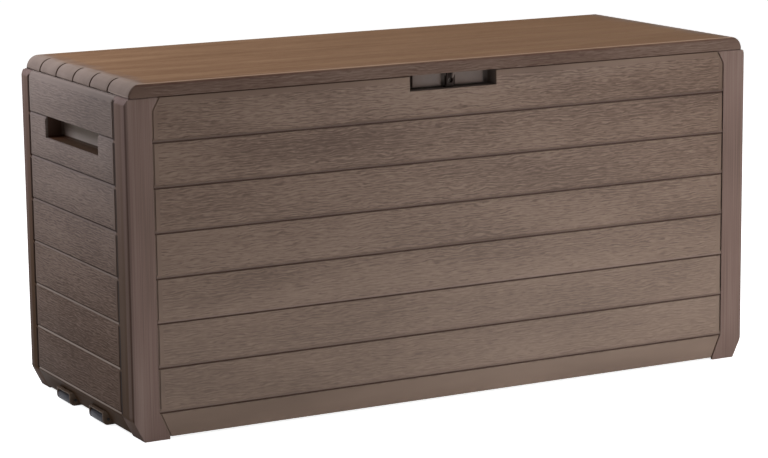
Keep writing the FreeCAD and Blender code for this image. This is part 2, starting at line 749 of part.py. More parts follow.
def lid_shell():
    """Hollow lid with board grooves over its top and ends, and the moving knuckles."""
    body = new_piece("lid_shell")
    solid = prism(
        body, "lid_solid", "XZ_Plane", LID_FRONT, LID_DEPTH, lid_arch("0", LID_BOTTOM))
    round_lid_front(body, solid)
    prism(
        body, "lid_hollow", "XZ_Plane", f"{LID_FRONT} + lid_wall",
        f"{LID_DEPTH} - 2 * lid_wall", lid_arch("lid_wall", f"{LID_BOTTOM} - {PAST}"),
        cut=True)
    outside = f"{LID_HALF_LENGTH} + {PAST}"
    band = lid_arch("lid_groove_depth", f"{LID_BOTTOM} - {PAST}") + [
        (f"-({outside})", f"{LID_BOTTOM} - {PAST}"), (f"-({outside})", f"{LID_TOP} + {PAST}"),
        (outside, f"{LID_TOP} + {PAST}"), (outside, f"{LID_BOTTOM} - {PAST}"),
    ]
    groove = prism(
        body, "lid_groove", "XZ_Plane",
        f"{LID_FRONT} + lid_front_board - lid_groove_width / 2", "lid_groove_width", band,
        cut=True)
    repeat(body, [groove], "Y_Axis", f"{LID_DEPTH} - lid_front_board - lid_back_board",
           "lid_groove_count")
    add_lid_knuckles(body)


def round_lid_front(body, solid):
    """Round the front edge of the lid's top and ends."""
    front = number(LID_FRONT)
    spring = number(f"{LID_TOP} - lid_end_radius")
    names = []
    for index, edge in enumerate(solid.Shape.Edges, 1):
        bounds = edge.BoundBox
        if bounds.YMax < front + 0.01 and bounds.ZMin > spring - 0.01:
            names.append(f"Edge{index}")
    rounding = body.newObject("PartDesign::Fillet", "lid_front_edge")
    rounding.Base = (solid, names)
    rounding.setExpression("Radius", formula("lid_edge_radius"))
    doc.recompute()


def add_lid_knuckles(body):
    root = "lid_back_inset + lid_wall / 2"
    knuckle = run_prism(
        body, "lid_knuckle", "back", f"{FIRST_HINGE} - hinge_lug_width / 2", "hinge_lug_width",
        [
            (root, f"{HINGE_HEIGHT} - hinge_radius"),
            (HINGE_INSET, f"{HINGE_HEIGHT} - hinge_radius", HINGE_INSET, HINGE_HEIGHT),
            (HINGE_INSET, f"{HINGE_HEIGHT} + hinge_radius"),
            (root, f"{HINGE_HEIGHT} + hinge_radius"),
        ])
    repeat(body, [knuckle], "X_Axis", HINGE_SPAN, "hinge_count")
    bore_hinges(body, "lid_knuckle_bore")


def lid_liner():
    """Inner panel of the lid, with ribs that meet the underside of the shell."""
    body = new_piece("lid_liner")
    half = f"({LID_HALF_LENGTH} - lid_wall - liner_fit)"
    front = f"({LID_FRONT} + liner_front_inset)"
    back = f"({LID_BACK} - lid_wall - liner_fit)"
    low = f"({LID_BOTTOM} + liner_lift)"
    plate = box(f"-{half}", half, front, back)
    prism(body, "liner_plate", "XY_Plane", low, "liner_thickness", plate)
    rib_low = f"({low} + liner_thickness)"
    rib_height = f"{LID_CEILING} - {rib_low}"
    flat_half = f"({LID_HALF_LENGTH} - lid_end_radius)"
    long_rib = prism(
        body, "liner_long_rib", "XY_Plane", rib_low, rib_height,
        box(f"-{flat_half}", flat_half, front, f"{front} + liner_rib_thickness"))
    repeat(body, [long_rib], "Y_Axis", f"{back} - {front} - liner_rib_thickness",
           "liner_long_rib_count")
    cross_rib = prism(
        body, "liner_cross_rib", "XY_Plane", rib_low, rib_height,
        box(f"-{flat_half}", f"liner_rib_thickness - {flat_half}", front, back))
    repeat(body, [cross_rib], "X_Axis", f"2 * {flat_half} - liner_rib_thickness",
           "liner_cross_rib_count")


def lid_pull():
    """Lifting lip that hangs from the lid into the latch recess, notched for the eyes."""
    body = new_piece("lid_pull")
    half = "pull_width / 2"
    low = f"{RIM} - pull_drop"
    run_prism(
        body, "pull_section", "front", f"-{half}", "pull_width", [
            ("pull_inset", low),
            ("pull_inset + pull_thickness", low),
            ("pull_inset + pull_thickness", f"{LID_CEILING} - pull_thickness"),
            ("pull_inset + pull_foot", f"{LID_CEILING} - pull_thickness"),
            ("pull_inset + pull_foot", LID_CEILING),
            ("pull_inset", LID_CEILING),
        ])
    notch = box("-pull_notch_width / 2", "pull_notch_width / 2", f"{low} - {PAST}",
                f"{low} + pull_notch_height")
    face_prism(body, "pull_notch", "front", f"pull_inset - {PAST}",
               f"pull_inset + pull_thickness + {PAST}", notch, cut=True)


def latch_pocket():
    """Open-topped recess that closes the latch opening from behind."""
    body = new_piece("latch_pocket")
    half = "(latch_width / 2)"
    run_prism(
        body, "pocket_tray", "front", f"-{half} - latch_wall", "latch_width + 2 * latch_wall", [
            ("wall", f"{LATCH_FLOOR} - latch_wall"),
            ("latch_depth + latch_wall", f"{LATCH_FLOOR} - latch_wall"),
            ("latch_depth + latch_wall", RIM),
            ("latch_depth", RIM),
            ("latch_depth", LATCH_FLOOR),
            ("wall", LATCH_FLOOR),
        ])
    cheek = box(half, f"{half} + latch_wall", LATCH_FLOOR, RIM)
    face_prism(body, "pocket_cheeks", "front", "wall", "latch_depth", cheek, mirrored(cheek))


def padlock_eye(name, near, low, high, foot_low, foot_near):
    """Plate with a round hole for a shackle, on a foot that fastens it."""
    body = new_piece(name)
    far = f"{near} + eye_thickness"
    half = "eye_width / 2"
    face_prism(body, f"{name}_plate", "front", near, far, box(f"-{half}", half, low, high))
    foot = box(f"-{half}", half, foot_low, f"{foot_low} + eye_foot_thickness")
    face_prism(body, f"{name}_foot", "front", foot_near, f"{foot_near} + eye_foot", foot)
    start, length = span_below("front", f"{near} - {PAST}", f"{far} + {PAST}")
    bore(body, f"{name}_bore", "XZ_Plane", start, length, "0", EYE_HOLE, "eye_hole_radius")


def padlock_eyes():
    """One eye stands on the recess floor, and the other hangs from the lid before it."""
    padlock_eye("body_eye", BODY_EYE_INSET, LATCH_FLOOR, EYE_TOP, LATCH_FLOOR, BODY_EYE_INSET)
    padlock_eye("lid_eye", "lid_eye_inset", EYE_BOTTOM, LID_CEILING,
                f"{LID_CEILING} - eye_foot_thickness",
                "lid_eye_inset + eye_thickness - eye_foot")


def grip_cup(name, side):
    """Cup behind a hand opening, with room above the opening for fingers."""
    body = new_piece(name)

    def around(margin, rise):
        half = f"(grip_width / 2 + {margin})"
        return box(f"grip_offset - {half}", f"grip_offset + {half}",
                   f"{GRIP_BOTTOM} - {margin}", f"{GRIP_TOP} + {rise}")

    face_prism(body, f"{name}_flange", side, "wall", "wall + grip_wall",
               around("grip_flange", "grip_flange + grip_finger_rise"))
    face_prism(body, f"{name}_shell", side, "wall", "grip_depth + grip_wall",
               around("grip_wall", "grip_wall + grip_finger_rise"))
    face_prism(body, f"{name}_room", side, "wall + grip_wall", "grip_depth",
               around("0", "grip_finger_rise"), cut=True)
    face_prism(body, f"{name}_mouth", side, f"wall - {PAST}", f"wall + grip_wall + {PAST}",
               around("0", "0"), cut=True)


def wheel_bracket(name, centre):
    """Bracket under the floor: two cheeks and a fender over one roller."""
    body = new_piece(name)
    corner = "bracket_inset + bracket_corner_radius"
    shoulder = "bracket_lift + bracket_corner_radius"
    run_prism(
        body, f"{name}_block", "left", f"{centre} - {BRACKET_HALF}", f"2 * {BRACKET_HALF}", [
            ("bracket_inset", "floor_height"),
            ("bracket_inset", shoulder, corner, shoulder),
            (corner, "bracket_lift"),
            ("bracket_toe", "bracket_lift"),
            ("bracket_length", "bracket_heel_height"),
            ("bracket_length", "floor_height"),
        ])
    room = "wheel_radius + wheel_clearance"
    run_prism(
        body, f"{name}_room", "left", f"{centre} - {WHEEL_HALF_GAP}", f"2 * {WHEEL_HALF_GAP}",
        box(f"-{PAST}", f"wheel_inset + {room}", f"-{PAST}", f"{WHEEL_HEIGHT} + {room}"),
        cut=True)
    bore(body, f"{name}_bore", "XZ_Plane", f"{centre} - {BRACKET_HALF} - {PAST}",
         f"2 * ({BRACKET_HALF} + {PAST})", WHEEL_PLACE, WHEEL_HEIGHT,
         "axle_radius + axle_fit")


def wheel(name, centre):
    """Plain roller with chamfered edges and a bore for its axle."""
    body = new_piece(name)
    half = "(wheel_width / 2)"
    half_profile = [
        ("axle_radius + wheel_fit", half),
        ("wheel_radius - wheel_edge", half),
        ("wheel_radius", f"{half} - wheel_edge"),
    ]
    other_half = [(radius, f"-({place})") for radius, place in half_profile[::-1]]
    turn(body, f"{name}_solid", "XY_Plane", (WHEEL_PLACE, centre, WHEEL_HEIGHT), "V_Axis",
         half_profile + other_half)


def turned_pin(name, centre, length, radius, axis):
    """Plain pin with chamfered ends, along X for H_Axis or along Y for V_Axis."""
    body = new_piece(name)
    half = f"({length} / 2)"
    profile = [
        (f"-{half}", "0"), (f"-{half}", f"{radius} - pin_end_chamfer"),
        (f"-{half} + pin_end_chamfer", radius), (f"{half} - pin_end_chamfer", radius),
        (half, f"{radius} - pin_end_chamfer"), (half, "0"),
    ]
    if axis == "V_Axis":
        profile = [(across, along) for along, across in profile]
    turn(body, f"{name}_solid", "XY_Plane", centre, axis, profile)


def rollers():
    for name, centre in (("front", "wheel_front_position"), ("back", "wheel_back_position")):
        wheel_bracket(f"wheel_bracket_{name}", centre)
        wheel(f"wheel_{name}", centre)
        turned_pin(f"axle_{name}", (WHEEL_PLACE, centre, WHEEL_HEIGHT),
                   f"(2 * {BRACKET_HALF})", "axle_radius", "V_Axis")


def hinge_pins():
    for index, name in enumerate(("left", "middle", "right")):
        place = f"{FIRST_HINGE} + {index} * {HINGE_SPAN} / (hinge_count - 1)"
        turned_pin(f"hinge_pin_{name}", (place, HINGE_PLACE, HINGE_HEIGHT),
                   "hinge_width", "hinge_pin_radius", "H_Axis")


def export_pieces():
    """Check every object, then write one file for each piece."""
    for item in doc.Objects:
        if "Invalid" in item.State or "Error" in item.State:
            raise ValueError(f"{item.Name} is in state {item.State}")
    os.makedirs("parts", exist_ok=True)
    for body in pieces:
        shape = body.Shape
        if shape.isNull() or not shape.isValid() or len(shape.Solids) != 1:
            raise ValueError(f"{body.Label} has no single valid solid")
        shape.exportStep(f"parts/{body.Label}.step")


fill_sheet()
front_wall()
back_wall()
left_wall()
end_wall("right_end_panel", "right")
for post_end in ("left", "right"):
    for post_side in ("front", "back"):
        corner_post(f"post_{post_side}_{post_end}", post_end, post_side)
floor_panel()
lid_shell()
lid_liner()
lid_pull()
latch_pocket()
padlock_eyes()
grip_cup("grip_cup_left", "left")
grip_cup("grip_cup_right", "right")
rollers()
hinge_pins()
export_pieces()
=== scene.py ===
# %% [markdown]
# # Outdoor storage box
#
# The real thing is a long box of brown moulded resin that imitates planks of wood. Four
# posts hold ribbed walls, a hinged lid closes the top, and two small rollers sit under the
# left end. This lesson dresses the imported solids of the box: it softens their edges, adds
# a finer piece where the solids are plain, and gives every surface a finish of its own.
#
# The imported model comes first, because every piece takes its place from it.

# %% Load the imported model
import math

import bmesh
import bpy
from mathutils import Matrix, Vector


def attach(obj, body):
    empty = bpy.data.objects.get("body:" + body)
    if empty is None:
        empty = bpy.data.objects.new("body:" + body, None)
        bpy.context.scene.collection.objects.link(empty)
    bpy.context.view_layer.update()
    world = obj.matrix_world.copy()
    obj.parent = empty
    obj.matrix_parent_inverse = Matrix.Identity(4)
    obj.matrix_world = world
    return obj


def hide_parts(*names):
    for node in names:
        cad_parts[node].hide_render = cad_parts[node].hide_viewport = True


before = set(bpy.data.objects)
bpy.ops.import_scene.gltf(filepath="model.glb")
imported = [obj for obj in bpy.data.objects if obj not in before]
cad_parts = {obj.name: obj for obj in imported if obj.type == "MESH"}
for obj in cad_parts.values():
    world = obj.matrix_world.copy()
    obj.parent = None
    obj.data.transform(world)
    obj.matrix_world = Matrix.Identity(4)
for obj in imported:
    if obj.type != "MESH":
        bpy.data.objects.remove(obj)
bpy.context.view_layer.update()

MM = 0.001

# %% [markdown]
# ## Colours and nodes
#
# A colour picked from a screen is an sRGB value, but the renderer mixes light in linear
# values. One function turns the first into the second, so that every colour below can be
# written as the hex value that the eye sees.
#
# A material is a tree of nodes. Writing each node out takes many lines, so one function
# adds a node of any kind, sets its options and its sockets, and makes its links in a
# single call.

# %% Turn a hex colour into a linear one
def linear(hex_colour):
    """Linear colour with alpha for an sRGB hex value such as 6f5d52."""
    values = []
    for start in (0, 2, 4):
        part = int(hex_colour[start:start + 2], 16) / 255
        if part <= 0.04045:
            values.append(part / 12.92)
        else:
            values.append(((part + 0.055) / 1.055) ** 2.4)
    return (*values, 1)


print("mid brown in linear values:", linear("6f5d52"))


# %% Add a node with its settings and links
def add_node(tree, kind, sockets=None, stops=None, **options):
    """New node with its options set, and its sockets set or linked.

    A socket takes a number, a colour, another node's output, or another node, which stands
    for its first output. The stops of a colour ramp are hex tones by their position."""
    made = tree.nodes.new("ShaderNode" + kind)
    for option, value in options.items():
        setattr(made, option, value)
    for socket, value in (sockets or {}).items():
        if isinstance(value, bpy.types.Node):
            value = value.outputs[0]
        if isinstance(value, bpy.types.NodeSocket):
            tree.links.new(value, made.inputs[socket])
        else:
            made.inputs[socket].default_value = value
    if stops:
        marks = made.color_ramp.elements
        while len(marks) < len(stops):
            marks.new(1)
        for mark, (position, tone) in zip(marks, stops.items()):
            mark.position = position
            mark.color = linear(tone)
    return made


# %% Open and close a material
def new_finish(name):
    """Empty material, its node tree, and the place of a point on the object."""
    material = bpy.data.materials.new(name)
    material.use_nodes = True
    tree = material.node_tree
    tree.nodes.clear()
    return material, tree, add_node(tree, "TexCoord").outputs["Object"]


def cover(material, sockets):
    """Close a material with a shader that has these sockets, and say what it became."""
    tree = material.node_tree
    shader = add_node(tree, "BsdfPrincipled", sockets)
    add_node(tree, "OutputMaterial", {"Surface": shader})
    print(material.name, "has", len(tree.nodes), "nodes")


# %% [markdown]
# ## Moulded wood grain
#
# The walls and the lid are polypropylene, a resin that is injected into a steel mould. The
# mould is etched with a wood grain: wavy lines 4 to 5 mm apart that run for some 25 mm and
# fade into each other. The grain isn't painted, so what the eye sees is mostly relief: lit
# ridges over slightly darker hollows, on a dull satin surface.
#
# It could be carved into the mesh, but lines this small would need millions of faces. A
# sine wave on a coordinate that a slow noise bends gives lines that wander like real grain,
# and a second noise, stretched along the board, fades each line in and out.

# %% Multiply and stretch
def product(tree, *values):
    """Values multiplied with each other; of masks, the part where all of them hold."""
    result, *others = values
    for other in others:
        result = add_node(tree, "Math", {0: result, 1: other}, operation="MULTIPLY")
    return result


def streaks(tree, place, axis, length, width, detail):
    """Noise in cells of length by width millimetres, drawn out along one axis."""
    scale = [1 / (width * MM)] * 3
    scale["XYZ".index(axis)] = 1 / (length * MM)
    cells = add_node(tree, "Mapping", {"Vector": place, "Scale": scale})
    return add_node(tree, "TexNoise", {"Vector": cells, "Scale": 1, "Detail": detail})


def wandering(tree, place, axis, reach):
    """Place pushed aside by a slow noise, by up to reach millimetres."""
    slow = streaks(tree, place, axis, 55, 15, 3).outputs["Color"]
    centred = add_node(tree, "VectorMath", {0: slow, 1: (0.5, 0.5, 0.5)}, operation="SUBTRACT")
    return add_node(tree, "VectorMath", {
        0: centred, 1: (4 * reach * MM,) * 3, 2: place}, operation="MULTIPLY_ADD")


# %% Grain lines
def wood_lines(tree, place, axis, spacing, length):
    """Height from 0 to 1 of wavy lines that run along an axis; sizes in millimetres."""
    bent = wandering(tree, place, axis, spacing * 0.7)
    bent_place = add_node(tree, "SeparateXYZ", {0: bent}).outputs
    level = bent_place["Z"]
    if axis == "X":
        level = add_node(tree, "Math", {0: level, 1: bent_place["Y"]}, operation="ADD")
    turns = product(tree, level, 2 * math.pi / (spacing * MM))
    wave = add_node(tree, "Math", {0: turns}, operation="SINE")
    fading = streaks(tree, bent, axis, length, spacing * 1.1, 2)
    strength = add_node(tree, "MapRange", {"Value": fading, "From Min": 0.38, "From Max": 0.62})
    fine = streaks(tree, bent, axis, length * 0.8, spacing * 0.36, 1)
    return add_node(tree, "Math", {0: product(tree, wave, strength), 1: 0.24, 2: fine},
                    operation="MULTIPLY_ADD")


# %% [markdown]
# ## Planks, grooves and smooth bands
#
# The walls are one moulding each, but they pretend to be planks. The mould leaves more
# than grooves: each plank has a tone of its own, the lip over a groove and the margin
# beside a post are smooth, and the inside of the wall has no grain at all.
#
# A shader can find out where it is. The height over the first groove, wrapped round at the
# plank's pitch, says how far a point is above its groove, and the same height divided by
# the pitch and rounded down numbers the plank. Soft masks made from such lengths then
# switch the grain and the painted light and shade on and off.

# %% Masks from lengths
def mask(tree, length, zero, one):
    """Mask that goes smoothly from 0 to 1 while a length goes from zero to one, in mm."""
    return add_node(tree, "MapRange", {
        "Value": length, "From Min": zero * MM, "From Max": one * MM},
        interpolation_type="SMOOTHSTEP")


def beyond(tree, length, centre, half, soft):
    """Mask of what lies further than half from a centre, both ways; in millimetres."""
    offset = add_node(tree, "Math", {0: length, 1: centre * MM}, operation="SUBTRACT")
    distance = add_node(tree, "Math", {0: offset}, operation="ABSOLUTE")
    return mask(tree, distance, half - soft, half + soft)


# %% Find the plank that a point lies on
def plank_at(tree, level, first, pitch):
    """Height of a point over the groove below it, and a random number for its plank."""
    above = add_node(tree, "Math", {0: level, 1: first * MM}, operation="SUBTRACT")
    height = add_node(tree, "Math", {0: above, 1: pitch * MM}, operation="FLOORED_MODULO")
    number = add_node(tree, "Math", {0: above, 1: pitch * MM}, operation="DIVIDE")
    number = add_node(tree, "Math", {0: number}, operation="FLOOR")
    return height, add_node(tree, "TexWhiteNoise", {"W": number}, noise_dimensions="1D")


# %% Tint a colour
# Mixes in real tones, and also painted light and shade.
def tint_with(tree, colour, other, *masks):
    """Colour with another one, written as hex, mixed in where all the masks hold."""
    return add_node(tree, "Mix", {0: product(tree, *masks), 6: colour, 7: linear(other)},
                    data_type="RGBA").outputs[2]


# %% Relief and roughness from one height
RESIN_IOR = 1.49


def cover_relief(material, colour, height, relief, rough, gloss):
    """Close a material with bump of relief millimetres that is rougher in its hollows."""
    tree = material.node_tree
    bump = add_node(tree, "Bump", {"Height": height, "Distance": relief * MM, "Strength": 1})
    roughness = add_node(tree, "MapRange", {
        "Value": height, "To Min": rough + 0.08, "To Max": rough - 0.06})
    cover(material, {"Base Color": colour, "Roughness": roughness, "Normal": bump,
                     "IOR": RESIN_IOR, "Specular IOR Level": gloss})


# %% [markdown]
# ## Wall resin
#
# Seen close, a wall is a field of fine wavy lines 4 to 5 mm apart. The grooves get painted
# shade on top of the shade that falls in them, and the smooth lips beside them a painted
# highlight. Low on the front the wall is painted paler, as bounce light from the floor.
#
# The end walls are duller. Towards the ground they get painted shade, with a painted
# highlight on each ledge under a groove, and higher up they are painted paler and greyer, as
# light and sheen fall on them. Their skirt gets painted shade and the rim under the lid a
# faint painted highlight; neither has grain. Each of these is one colour mixed in by one mask.

# %% Sizes of the planked walls
# In millimetres: the grain's axis, the first groove's height and the planks' pitch; the
# grained part's centre and half length along the axis, and how far its face is from the
# middle of the box; the smooth band over a groove, or under it on the ends; the lines'
# spacing and relief. Contrast and gloss have no unit.
FRONT_WALL = {
    "axis": "X", "first": 43.8, "pitch": 71.6, "centre": 0, "half": 525, "face": 219.2,
    "band": 3.6, "band_under": False, "spacing": 4.6, "relief": 0.38, "contrast": 1.2,
    "gloss": 0.25}
END_WALL = {
    "axis": "Y", "first": 40.4, "pitch": 72.8, "centre": 6.5, "half": 172, "face": 575.7,
    "band": 4, "band_under": True, "spacing": 4.2, "relief": 0.5, "contrast": 1.6,
    "gloss": 0.05}
RIM_LEVEL = 535
LINE_LENGTH = 24


# %% Parts of a planked wall
def wall_parts(tree, wall, lengthwise, outward, level):
    """Masks of a wall's parts, the distance from the band's groove, and the plank's tone."""
    from_groove, tone = plank_at(tree, level, wall["first"], wall["pitch"])
    if wall["band_under"]:
        from_groove = add_node(tree, "Math", {0: wall["pitch"] * MM, 1: from_groove},
                               operation="SUBTRACT")
    nearest = add_node(tree, "Math", {0: from_groove, 1: wall["pitch"] / 2 * MM},
                       operation="PINGPONG")
    parts = {
        "groove": mask(tree, nearest, 1.9, 1.1),
        "band": mask(tree, from_groove, wall["band"] + 0.6, wall["band"] - 0.6),
        "skirt": mask(tree, level, wall["first"] - 2, wall["first"] - 5),
        "rim": mask(tree, level, RIM_LEVEL - 1, RIM_LEVEL + 1)}
    smooth = beyond(tree, lengthwise, wall["centre"], wall["half"], 0.8)
    for part in ("band", "skirt", "rim"):
        smooth = add_node(tree, "Math", {0: smooth, 1: parts[part]}, operation="MAXIMUM")
    rest = add_node(tree, "Math", {0: 1, 1: smooth}, operation="SUBTRACT")
    parts["grained"] = product(tree, rest, beyond(tree, outward, 0, wall["face"], 0.2))
    return parts, from_groove, tone


# %% Wall resin
def wall_resin(name, wall, paint_light):
    """Planked wall of given sizes, with light and shade painted in by a paint_light function."""
    material, tree, place = new_finish(name)
    x, y, level = add_node(tree, "SeparateXYZ", {0: place}).outputs
    lengthwise, outward = (x, y) if wall["axis"] == "X" else (y, x)
    parts, from_groove, tone = wall_parts(tree, wall, lengthwise, outward, level)
    ridges = wood_lines(tree, place, wall["axis"], wall["spacing"], LINE_LENGTH)
    lines = add_node(tree, "Math", {0: ridges, 1: 0.5}, operation="SUBTRACT")
    mottling = streaks(tree, place, wall["axis"], 260, 60, 3)
    value = add_node(tree, "Math", {
        0: product(tree, lines, wall["contrast"]), 1: parts["grained"], 2: mottling},
        operation="MULTIPLY_ADD")
    tone = add_node(tree, "Math", {0: tone, 1: 0.5}, operation="SUBTRACT")
    value = add_node(tree, "Math", {0: tone, 1: 0.05, 2: value}, operation="MULTIPLY_ADD")
    colour = add_node(tree, "ValToRGB", {"Fac": value},
                      stops={0.15: "57453b", 0.5: "6c584c", 0.85: "7b675a"})
    colour = paint_light(tree, colour, level, from_groove, parts)
    height = product(tree, lines, parts["grained"])
    cover_relief(material, colour, height, wall["relief"], 0.52, wall["gloss"])
    return material


def groove_shade_and_lip_light(tree, colour, parts):
    """Colour with a painted highlight on the smooth band and painted shade in the groove."""
    colour = tint_with(tree, colour, "80706a", parts["band"], 0.35)
    return tint_with(tree, colour, "351b0f", parts["groove"], 0.85)


# %% Painted light and shade on the front and the ends
def front_painted_light(tree, colour, level, from_groove, parts):
    """Painted bounce light low on the wall, under the painted light and shade of the grooves."""
    # Paler towards the bottom: painted bounce light from the floor.
    colour = tint_with(tree, colour, "9e8b7d", mask(tree, level, 480, 60), 0.25)
    return groove_shade_and_lip_light(tree, colour, parts)


def end_painted_light(tree, colour, level, from_groove, parts):
    """Painted shade low and on the skirt, painted light on ledges, rim and upper wall."""
    colour = groove_shade_and_lip_light(tree, colour, parts)
    low = mask(tree, level, 360, 60)
    # Darker towards the ground: painted shade.
    colour = tint_with(tree, colour, "3a2c20", low, 0.26)
    # Paler and greyer higher up: painted light and sheen.
    colour = tint_with(tree, colour, "948e8a", mask(tree, level, 120, 540), 0.27)
    # Pale line on the ledge under each groove, low on the wall: painted highlight.
    ledge = product(tree, mask(tree, from_groove, 4.2, 3.2),
                    mask(tree, from_groove, 0.8, 1.4))
    colour = tint_with(tree, colour, "b0a092", ledge, low, 0.75)
    # Dark skirt: painted shade on its downward slope.
    colour = tint_with(tree, colour, "38230b", parts["skirt"], 0.8)
    # Slightly paler rim under the lid: painted highlight.
    return tint_with(tree, colour, "9a8b80", parts["rim"], 0.2)


front_resin = wall_resin("polypropylene_long_planks", FRONT_WALL, front_painted_light)
end_resin = wall_resin("polypropylene_end_planks", END_WALL, end_painted_light)

# %% [markdown]
# ## Post resin
#
# The posts come from the same resin but a mould that was brushed upwards: long straight
# scratches, much finer than the wood grain, that give them a silky look. Real scratches are
# a few tenths of a millimetre wide. They are drawn 1.8 mm wide here, or nothing of them
# would show.
#
# The sides that face the ends of the box get painted shade like the end walls, more towards
# the ground, and their feet too. Painted shade draws a dark line along their rounded corner,
# and a dark joint line marks the seam where the end wall slides in, which stops for a moment
# under each groove of the wall.

# %% Seam beside the end wall
def seam_mask(tree, across, level):
    """Mask of the strip where the end wall slides into a post, broken at each groove."""
    pitch = END_WALL["pitch"]
    height, _ = plank_at(tree, level, END_WALL["first"], pitch)
    under = add_node(tree, "Math", {0: pitch * MM, 1: height}, operation="SUBTRACT")
    broken = product(tree, mask(tree, under, 1, 2), mask(tree, under, 6, 5))
    whole = add_node(tree, "Math", {0: 1, 1: broken}, operation="SUBTRACT")
    return product(tree, mask(tree, across, -181.5, -180), mask(tree, across, 192.5, 191), whole)


# %% Post resin
def post_resin_finish(name):
    """Resin with fine upright scratches, painted shade on the side and corner, and a dark seam.
    """
    material, tree, place = new_finish(name)
    lengthwise, across, level = add_node(tree, "SeparateXYZ", {0: place}).outputs
    scratches = streaks(tree, place, "Z", 220, 1.8, 2)
    mottling = streaks(tree, place, "Z", 300, 40, 2)
    value = add_node(tree, "Math", {0: scratches, 1: 0.5}, operation="SUBTRACT")
    value = add_node(tree, "Math", {0: value, 1: 0.8, 2: mottling}, operation="MULTIPLY_ADD")
    colour = add_node(tree, "ValToRGB", {"Fac": value},
                      stops={0.15: "64534b", 0.5: "735f58", 0.85: "816e66"})
    # Painted shade on the side faces: stronger low down, weaker near the front corner.
    side = beyond(tree, lengthwise, 0, 578, 1)
    painted_shading = add_node(tree, "Math", {0: mask(tree, level, 520, 100), 1: 0.4, 2: 0.46},
                    operation="MULTIPLY_ADD")
    lit_corner_strip = add_node(tree, "Math", {0: beyond(tree, across, 0, 207, 1.5), 1: -0.4, 2: 1},
                      operation="MULTIPLY_ADD")
    colour = tint_with(tree, colour, "40290c", side, painted_shading, lit_corner_strip,
                   mask(tree, level, RIM_LEVEL + 2, RIM_LEVEL - 2))
    # Painted shade on the feet of the posts.
    painted_foot_shade = add_node(tree, "Math", {
        0: mask(tree, level, 42, 36), 1: beyond(tree, across, 0, 221.8, 0.8)},
        operation="SUBTRACT")
    painted_foot_shade = add_node(tree, "Math", {0: painted_foot_shade, 1: 0}, operation="MAXIMUM")
    colour = tint_with(tree, colour, "40290c", painted_foot_shade, 0.6)
    # Painted shade as a dark line along the rounded corner.
    colour = tint_with(tree, colour, "2e1d16", side, beyond(tree, across, 0, 219.5, 1), 0.45)
    colour = tint_with(tree, colour, "22150e", side, seam_mask(tree, across, level), 0.85)
    cover_relief(material, colour, scratches, 0.1, 0.62, 0.05)
    return material


post_resin = post_resin_finish("polypropylene_brushed_posts")

# %% [markdown]
# ## Lid resin
#
# The lid's planks run lengthwise and bend down over the ends. Its flat top is painted a
# warmer brown, as warm light from above, while its front band and ends keep the grey brown
# of the walls. A mask on height tells the one from the other, and a slow noise makes the
# border between them ragged. Towards the right end the top is browner still.
#
# Light and shade are painted at the rims: a painted highlight on the top edge of the front
# band with a painted shadow line under it, a lighter painted tone on the curved ends, and
# painted shade in their grooves.

# %% Sizes of the lid
LID_GRAIN = {"spacing": 4.8, "length": 32}
LID_FRONT = -220.1
LID_CURVE = 546
LID_FIRST_GROOVE, LID_PITCH = -137.5, 72.5


# %% Painted light and shade on the lid
def lid_grooves(tree, lengthwise, across):
    """Mask of the plank grooves on the two curved ends."""
    offset = add_node(tree, "Math", {0: across, 1: LID_FIRST_GROOVE * MM}, operation="SUBTRACT")
    beside = add_node(tree, "Math", {0: offset, 1: LID_PITCH / 2 * MM}, operation="PINGPONG")
    return product(tree, mask(tree, beside, 3.4, 2.2), beyond(tree, lengthwise, 0, 552, 1.5),
                   mask(tree, offset, -20, -19))


def painted_front_edge(tree, colour, front, level):
    """Front band of the lid: painted highlight on its top edge, painted shadow line under it."""
    colour = tint_with(tree, colour, "b59a86", front, mask(tree, level, 565.6, 566.4), 0.6)
    return tint_with(tree, colour, "50342a", front, mask(tree, level, 562.4, 563),
                 mask(tree, level, 565.4, 564.6), 0.5)


# %% Tones of the lid
def lid_tones(tree, place, value, front, curve, top):
    """Colour of the lid: painted warm light on its top, cool on its front and ends."""
    cool = add_node(tree, "ValToRGB", {"Fac": value},
                    stops={0.15: "5a4940", 0.5: "6b594f", 0.85: "7a695e"})
    warm = add_node(tree, "ValToRGB", {"Fac": value},
                    stops={0.15: "694c35", 0.5: "765840", 0.85: "84664c"})
    lengthwise = add_node(tree, "SeparateXYZ", {0: place}).outputs["X"]
    warm = tint_with(tree, warm, "6a4a2c", mask(tree, lengthwise, -200, 560), 0.5)
    elsewhere = add_node(tree, "Math", {0: 1, 1: front}, operation="SUBTRACT")
    # Lighter tone on the curved ends: painted light.
    cool = tint_with(tree, cool, "a6978b", curve, elsewhere, 0.28)
    # Warm tone on the flat top: painted warm light from above.
    return add_node(tree, "Mix", {0: top, 6: cool, 7: warm}, data_type="RGBA").outputs[2]


